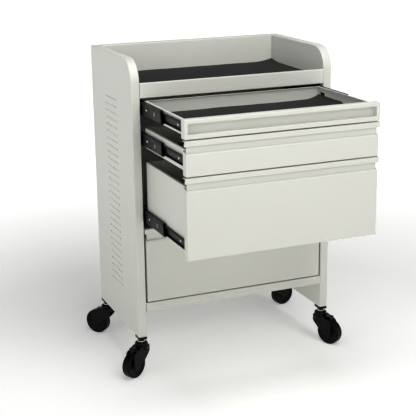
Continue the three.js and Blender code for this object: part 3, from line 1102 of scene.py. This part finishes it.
@dataclass
class BallSlide:
    """A three-member ball-bearing slide beside one drawer."""

    number: int
    side: Side
    curl: float = 1.5
    curl_in: float = 0.8
    roll: float = 1.4
    race_depth: float = 0.9
    race_height: float = 5.0
    race_slope: float = 1.6
    ball_radius: float = 1.5
    ball_pitch: float = 5.2
    balls: int = 14
    balls_setback: float = 44.0
    slant: float = 5.0
    cap_length: float = 66.0
    cap_clearance: float = 0.4
    cover_stand: float = 1.0
    arm_length: float = 14.0
    arm_half: float = 1.3
    arm_offset: float = 2.3
    arm_gap: float = 0.6
    rivet_setback: float = 114.0
    rivet_head: Point = (3.4, 1.6)
    spring_setback: float = 47.0
    spring_bow: float = 3.0
    spring_half: float = 5.0
    spring_thickness: float = 2.4
    spring_bend: float = 6.0
    spring_stand: float = 0.25
    screw_setbacks: tuple[float, ...] = (40.5, 170.0, 285.0)
    screw_head: Point = (3.9, 1.7)

    @property
    def name(self) -> str:
        """The slide's name, without its members."""
        return f"drawer_{self.number}_{self.side.label}_slide"

    def member_box(self, kind: str) -> Box:
        """The box of one member's CAD node."""
        return Box.of(f"{self.name}_{kind}_member")

    def member(self, kind: str, opens_inwards: bool, body: str, slant: float = 0.0) -> None:
        """Rolls one member, with flanges whose ends curl inwards.

        The two moving members have a raised race beside each flange; the fixed one's web is flat.

        Args:
            kind: Which member.
            opens_inwards: Whether the flanges point to the drawer.
            body: The body that it rides on.
            slant: How much further back its upper front end lies.
        """
        b = self.member_box(kind)
        towards = -self.side.value if opens_inwards else self.side.value
        foot = (b.x0 if towards > 0 else b.x1) + towards * SKIN
        tip = (b.x1 if towards > 0 else b.x0) - towards * SKIN
        web = foot + towards * self.race_depth
        high = b.z1 - SKIN
        half = [(tip, high - self.curl), (tip - towards * self.curl_in, high), (foot, high)]
        if kind != "cabinet":
            race = b.z1 - self.race_height
            half += [(foot, race), (web, race - self.race_slope)]
        mirrored = [(x, b.z0 + b.z1 - z) for x, z in reversed(half)]
        section = strip_outline(half + mirrored, SHEET, self.roll)
        rings = []
        for y in (b.y0, b.y1):
            lean = slant if y == b.y0 else 0.0
            rings.append([Vector((x, y + lean * (z - b.z0) / (b.z1 - b.z0), z)) for x, z in section])
        made = Workpiece().loft(rings).piece(f"{self.name}_{kind}_channel", BLACK_ZINC)
        settle(made, body, (f"{self.name}_{kind}_member",))

    def latch_cover(self) -> None:
        """Moulds the black latch cover on the middle member, with two arms along its races."""
        b = self.member_box("middle")
        side = self.side.value
        outer = b.x1 if self.side is Side.RIGHT else b.x0
        near = outer + side * self.cover_stand
        centre = b.middle.z
        half = (b.z1 - b.z0) / 2 - self.race_height - self.cap_clearance

        def front(z: float) -> float:
            """Where the member's slanted front end is at a height."""
            return b.y0 + self.slant / (b.z1 - b.z0) * (z - b.z0)

        high = centre + half
        low = centre - half
        rear = b.y0 + self.cap_length
        cap = Workpiece()
        cap.prism([(front(high), high), (front(low), low), (rear, low), (rear, high)], along_x,
                  outer - side * self.race_depth, near)
        stop = (b.x0 if self.side is Side.RIGHT else b.x1) + side * self.arm_gap
        for up in (-1, 1):
            level = centre + up * (half + self.arm_offset)
            start = front(level + self.arm_half)
            end = start + self.arm_length
            arm = rectangle_outline(start, end, level - self.arm_half, level + self.arm_half)
            cap.prism(arm, along_x, near, stop)
        made = cap.piece(f"{self.name}_latch_cover", BLACK_NYLON, bevel=0.25)
        settle(made, f"{self.name}_middle")

    def details(self) -> None:
        """Adds the rivet, the latch's bright spring, the fixing screws and the balls."""
        middle = self.member_box("middle")
        inner = self.member_box("drawer")
        centre = middle.middle.z
        side = self.side.value
        outwards = Vector((side, 0, 0))
        face = middle.x1 if self.side is Side.RIGHT else middle.x0
        web = face - side * self.race_depth
        rivet = Repeats.heads(f"{self.name}_rivet", Head.RIVET, [
            Vector((web, middle.y0 + self.rivet_setback, centre))], outwards, self.rivet_head)
        settle(rivet, f"{self.name}_middle")
        crest = middle.y0 + self.spring_setback
        foot = crest + self.spring_bow
        half = self.spring_half
        bow = strip_outline([(foot, centre + half), (crest, centre), (foot, centre - half)],
                            self.spring_thickness, self.spring_bend)
        spring = Workpiece().prism(bow, along_x, web, face + side * (self.cover_stand + self.spring_stand))
        settle(spring.piece(f"{self.name}_latch_spring", BRIGHT_ZINC), f"{self.name}_middle")
        back = inner.x0 if self.side is Side.RIGHT else inner.x1
        seat = back + side * (SHEET + self.race_depth)
        places = [Vector((seat, inner.y0 + setback, centre)) for setback in self.screw_setbacks]
        screws = Repeats.heads(f"{self.name}_screws", Head.SCREW, places, outwards, self.screw_head)
        settle(screws, f"drawer_{self.number}")
        reach = ((inner.z1 - inner.z0) / 2 + (middle.z1 - middle.z0) / 2 - SHEET) / 2
        start = middle.y0 + self.balls_setback
        row = [Vector((inner.middle.x, start + self.ball_pitch * i, centre + up * reach))
               for i in range(self.balls) for up in (-1, 1)]
        balls = Repeats.run(Repeats.points(f"{self.name}_balls", row, outwards), Repeats.bearing_balls(), {
            "Ball Radius": self.ball_radius * MM, "Material": BALL_STEEL.material()})
        settle(balls, f"{self.name}_middle")

    def build(self) -> None:
        """Makes the three members and what is fixed to them."""
        self.member("cabinet", True, "cabinet")
        self.member("middle", True, f"{self.name}_middle", self.slant)
        self.member("drawer", False, f"drawer_{self.number}")
        self.latch_cover()
        self.details()


# ---------------------------------------------------------------- casters
@dataclass
class Caster:
    """A swivel caster: plate, collar, pressed fork and wheel, with a pedal on the braked ones."""

    name: str
    braked: bool
    trail: float = 35.0
    wheel_radius: float = 37.5
    wheel_half_width: float = 11.75
    fork_inside: float = 13.2
    leg: float = 2.8
    head_radius: float = 19.5
    head_top: float = 98.0
    head_bottom: float = 75.5
    collar_radius: float = 11.5
    collar_bottom: float = 98.3
    collar_top: float = 102.8
    plate_thickness: float = 6.5
    plate_corner: float = 3.0
    boss_radius: float = 13.0
    neck_radius: float = 9.0
    kingpin_radius: float = 4.5
    pin: Point = (24.0, 82.5)
    pin_radius: float = 2.0
    barrel_radius: float = 4.0
    pressing: float = 2.4
    pedal_half_width: float = 9.0
    mount: Box = field(init=False)
    axis: Vector = field(init=False)
    angle: float = field(init=False)

    def __post_init__(self) -> None:
        """Reads the mount's place, the swivel's axis and the way that the wheel trails."""
        self.mount = Box.of(f"{self.name}_mount")
        wheel = Box.of(f"{self.name}_wheel").middle
        self.axis = self.mount.middle
        self.angle = math.atan2(wheel.y - self.axis.y, wheel.x - self.axis.x)

    def place(self, along: float, across: float, z: float) -> Vector:
        """Finds a place from the swivel's axis.

        Args:
            along: How far along the wheel's trail.
            across: How far across it, to the left.
            z: The height above the floor.

        Returns:
            The place in the chest's frame.
        """
        c = math.cos(self.angle)
        s = math.sin(self.angle)
        return Vector((self.axis.x + along * c - across * s, self.axis.y + along * s + across * c, z))

    def sideways(self, along: float, z: float, across: float) -> Vector:
        """The same place with its values in the order of a section pushed across the trail."""
        return self.place(along, across, z)

    def on_wheel(self, up: float, out: float, across: float) -> Vector:
        """A place round the wheel's axle."""
        return self.place(self.trail + out, across, self.wheel_radius + up)

    def build_mount(self) -> None:
        """Makes the black plate and neck, the bright collar and the kingpin."""
        m = self.mount
        plate_bottom = m.z1 - self.plate_thickness
        plate = Workpiece()
        plate.prism(rounded(rectangle(m.x0, m.x1, m.y0, m.y1, self.plate_corner)),
                    lambda x, y, z: Vector((x, y, z)), plate_bottom, m.z1)
        neck = rectangle_outline(0, self.neck_radius, self.collar_top - 1, plate_bottom + 1)
        plate.turned(neck, self.place, 32)
        made = plate.piece(f"{self.name}_plate", FORK_ENAMEL, bevel=0.6)
        settle(made, "cabinet", (f"{self.name}_mount",))
        r = self.collar_radius
        low = self.collar_bottom
        high = self.collar_top
        collar = Workpiece()
        collar.turned([
            (0, low - 6), (self.kingpin_radius, low - 6), (self.kingpin_radius, low), (r - 0.6, low),
            (r, low + 0.7), (r, high - 2), (r - 2, high), (0, high)], self.place)
        settle(collar.piece(f"{self.name}_collar", BRIGHT_ZINC), "cabinet")

    def build_fork(self) -> None:
        """Makes the domed head, the crown, the two broad legs and the axle."""
        fork = Workpiece()
        r = self.head_radius
        top = self.head_top
        low = self.head_bottom
        fork.turned([
            (5.4, top - 12), (5.4, top), (12.4, top), (15.0, top - 0.8), (17.2, top - 2.6),
            (18.4, top - 5.0), (18.6, top - 6.6), (17.8, top - 7.4), (17.8, top - 8.2), (19.2, top - 9.0),
            (r, top - 11.0), (19.2, top - 13.4), (18.2, top - 14.2), (18.2, top - 15.0), (r, top - 16.2),
            (r, low), (r - 2.5, low), (r - 2.5, top - 14), (10, top - 12)], self.place, 48)
        outer = self.fork_inside + self.leg
        legs = [(-16.5, top - 11), (-17.0, 70.0), (-14.5, 64.0), (5.0, 44.0)]
        for degrees in range(200, 361, 20):
            out = self.boss_radius * math.cos(math.radians(degrees))
            up = self.boss_radius * math.sin(math.radians(degrees))
            legs.append((self.trail + out, self.wheel_radius + up))
        legs += [(49.0, 46.0), (49.0, 68.0), (44.0, 76.0), (30.0, 81.0), (17.0, top - 10)]
        for side in (-1, 1):
            fork.prism(legs, self.sideways, side * self.fork_inside, side * outer)
        crown = [(-15.0, 80.0), (-13.0, 86.5), (14.0, 86.5)]
        if not self.braked:
            crown += [(24.0, 85.0), (29.0, 79.5)]
        fork.prism(strip_outline(crown, self.pressing, 5.0), self.sideways, -outer + 0.2, outer - 0.2)
        fork.turned([(0, -outer - 1.4), (3.2, -outer - 1.4), (4.6, -outer - 0.6), (4.6, outer + 0.6),
                     (3.2, outer + 1.4), (0, outer + 1.4)], self.on_wheel, 24)
        if self.braked:
            half = outer + 0.8
            fork.turned(rectangle_outline(0, self.pin_radius, -half, half), self.hinge, 16)
        made = fork.piece(f"{self.name}_pressed_fork", FORK_ENAMEL, bevel=0.7)
        settle(made, f"{self.name}_swivel", (f"{self.name}_fork",))

    def hinge(self, along: float, up: float, across: float) -> Vector:
        """A place round the pedal's pin."""
        return self.place(self.pin[0] + along, across, self.pin[1] + up)

    def build_wheel(self) -> None:
        """Turns the wheel: a crowned tyre on a dished body with a raised hub."""
        r = self.wheel_radius
        w = self.wheel_half_width
        half = [
            (5.0, w + 0.4), (10.0, w + 0.4), (11.4, w - 0.4), (12.5, w - 2.6), (15.0, w - 3.4),
            (24.0, w - 3.0), (27.5, w - 1.6), (28.6, w - 0.4), (30.0, w), (31.4, w - 0.3),
            (31.8, w - 0.9), (32.6, w - 0.2), (r - 2.6, w), (r - 1.2, w - 0.5), (r - 0.3, w - 1.6),
            (r, w - 3.2)]
        profile = half + [(radius, -across) for radius, across in reversed(half)]
        wheel = Workpiece().turned(profile, self.on_wheel, 64)
        wheel = wheel.piece(f"{self.name}_tyred_wheel", WHEEL_PLASTIC)
        settle(wheel, f"{self.name}_wheel", (f"{self.name}_wheel",))

    def build_pedal(self) -> None:
        """Folds the brake pedal: a tab over the wheel with a turned-down end, and its pin's barrel."""
        pedal = Workpiece()
        half = self.pedal_half_width
        fold = strip_outline([(20.6, 86.2), (41.4, 86.2), (41.8, 78.3)], self.pressing, 2.0)
        pedal.prism(fold, self.sideways, -half, half)
        barrel = rectangle_outline(self.pin_radius + GAP, self.barrel_radius, -half, half)
        pedal.turned(barrel, self.hinge, 20)
        made = pedal.piece(f"{self.name}_pedal", FORK_ENAMEL, bevel=0.5)
        settle(made, f"{self.name}_brake_pedal", (f"{self.name}_brake_pedal",))

    def build(self) -> None:
        """Makes the whole caster."""
        self.build_mount()
        self.build_fork()
        self.build_wheel()
        if self.braked:
            self.build_pedal()


# ---------------------------------------------------------------- studio
@dataclass(frozen=True)
class Softbox:
    """A square lamp, in metres and watts, aimed at the middle of the chest."""

    name: str
    place: tuple[float, float, float]
    size: float
    power: float
    colour: str = "#FFFFFF"

    def hang(self) -> None:
        """Hangs the lamp."""
        data = bpy.data.lights.new(self.name, "AREA")
        data.size = self.size
        data.energy = self.power
        data.color = linear(self.colour)[:3]
        lamp = add_object(self.name, data)
        lamp.location = self.place
        aim = Vector((0, 0, 0.5)) - lamp.location
        lamp.rotation_euler = aim.to_track_quat("-Z", "Y").to_euler()


@dataclass
class Studio:
    """The floor, the lights and the camera."""

    softboxes: tuple[Softbox, ...] = (
        Softbox("key_softbox", (0.3, -2.4, 2.6), 1.5, 35),
        Softbox("top_softbox", (0.0, -0.5, 2.2), 1.0, 20),
        Softbox("side_softbox", (-3.2, -1.2, 1.4), 2.0, 20, "#F8FCFF"))
    floor_reach: float = 60.0
    camera_place: tuple[float, float, float] = (-1.18555, -2.70514, 1.28938)
    yaw: float = 22.48
    pitch: float = 15.9
    roll: float = 0.79
    lens: float = 92.66
    wall_glow: float = 1.0
    ceiling_glow: float = 0.05
    wall_foot: float = 0.15
    wall_top: float = 0.6
    near_glow: float = 0.26
    far_glow: float = 0.90
    glow_starts: float = 0.9
    glow_full: float = 2.4
    view_gamma: float = 0.8

    def build(self) -> None:
        """Sets up everything that isn't part of the chest."""
        self.add_floor()
        self.add_world()
        for softbox in self.softboxes:
            softbox.hang()
        self.add_camera()
        view = bpy.context.scene.view_settings
        view.view_transform = "Standard"
        view.gamma = self.view_gamma

    def add_floor(self) -> None:
        """Lays a plain pale floor under the chest with a painted glow: it emits light, dimly near the chest
        and more strongly further out.
        """
        data = bpy.data.meshes.new("studio_floor")
        reach = self.floor_reach
        corners = rectangle_outline(-reach, reach, -reach, reach)
        data.from_pydata([(x, y, 0) for x, y in corners], [], [(0, 1, 2, 3)])
        floor = add_object("studio_floor", data)
        painted_glow_paper = bpy.data.materials.new("matt_white_paper")
        painted_glow_paper.use_nodes = True
        tree = painted_glow_paper.node_tree
        place = add_node(tree, "ShaderNodeTexCoord").outputs["Object"]
        away = add_node(tree, "ShaderNodeVectorMath", {0: place}, operation="LENGTH").outputs["Value"]
        # Painted glow: the floor emits light, weakest near the chest and strongest from glow_full out, so
        # that it reads white and lights the chest from below like a lamp.
        glow = add_node(tree, "ShaderNodeMapRange", {
            "Value": away, "From Min": self.glow_starts, "From Max": self.glow_full,
            "To Min": self.near_glow, "To Max": self.far_glow})
        shader = tree.nodes["Principled BSDF"]
        shader.inputs["Base Color"].default_value = linear("#F6F6F4")
        shader.inputs["Roughness"].default_value = 0.9
        shader.inputs["Emission Color"].default_value = linear("#FFFFFF")
        tree.links.new(glow.outputs["Result"], shader.inputs["Emission Strength"])
        data.materials.append(painted_glow_paper)

    def add_world(self) -> None:
        """Lights the room's white walls, which fade towards a dim ceiling."""
        world = bpy.data.worlds.new("studio_room")
        world.use_nodes = True
        tree = world.node_tree
        outwards = add_node(tree, "ShaderNodeTexCoord").outputs["Generated"]
        height = add_node(tree, "ShaderNodeSeparateXYZ", {"Vector": outwards}).outputs["Z"]
        fade = add_node(tree, "ShaderNodeMapRange", {
            "Value": height, "From Min": self.wall_foot, "From Max": self.wall_top,
            "To Min": self.wall_glow, "To Max": self.ceiling_glow})
        background = tree.nodes["Background"]
        background.inputs["Color"].default_value = linear("#FFFFFF")
        tree.links.new(fade.outputs["Result"], background.inputs["Strength"])
        bpy.context.scene.world = world

    def add_camera(self) -> None:
        """Stands the camera where it looks down on the chest's front and left side."""
        yaw = math.radians(self.yaw)
        pitch = math.radians(self.pitch)
        roll = math.radians(self.roll)
        level = math.cos(pitch)
        ahead = Vector((math.sin(yaw) * level, math.cos(yaw) * level, -math.sin(pitch)))
        right = Vector((math.cos(yaw), -math.sin(yaw), 0))
        down = ahead.cross(right)
        x_axis = right * math.cos(roll) + down * math.sin(roll)
        y_axis = right * math.sin(roll) - down * math.cos(roll)
        turn = Matrix((x_axis, y_axis, -ahead)).transposed().to_4x4()
        data = bpy.data.cameras.new("studio_camera")
        data.lens = self.lens
        data.sensor_width = 36.0
        data.clip_end = 200.0
        camera = add_object("studio_camera", data)
        camera.matrix_world = Matrix.Translation(self.camera_place) @ turn
        bpy.context.scene.camera = camera


def mats() -> list[Mat]:
    """Lists the mats: the worktop's and the top drawer's have lifted corners, the others lie nearly flat.

    Returns:
        Every mat of the chest.
    """
    top = Box.of("worktop_mat")
    first = Box.of("drawer_1_mat")
    laid = [
        Mat("worktop_mat", "cabinet", "worktop_folded_tray", 1.1, 0.7, [Curl(top.x1, top.y1, 8.5, 62, 62)]),
        Mat("drawer_1_mat", "drawer_1", "drawer_1_box", 1.4, 2.2, [
            Curl(first.x1, first.y1, 12.5, 46, 60, 130.0), Curl(first.x0, first.y1, 1.2, 70, 70)]),
    ]
    for number, phase in ((2, 3.4), (3, 4.9), (4, 0.3)):
        laid.append(Mat(f"drawer_{number}_mat", f"drawer_{number}", f"drawer_{number}_box", 0.8, phase))
    return laid


def main() -> None:
    """Builds the chest from its sub-assemblies, then the studio round it."""
    logging.basicConfig(level=logging.INFO, format="%(message)s")
    parts = [SidePanel(Side.LEFT), SidePanel(Side.RIGHT), Back(), Worktop(), BasePan(), RecessedDrawer(1)]
    parts += [LippedDrawer(number) for number in (2, 3, 4)]
    parts += [BallSlide(number, side) for number in (1, 2, 3, 4) for side in Side]
    parts += mats()
    for end, braked in (("front", True), ("rear", False)):
        parts += [Caster(f"caster_{end}_{side.label}", braked) for side in Side]
    for part in parts:
        part.build()
        log.info("%s is built", type(part).__name__)
    Studio().build()


if __name__ == "__main__":
    main()
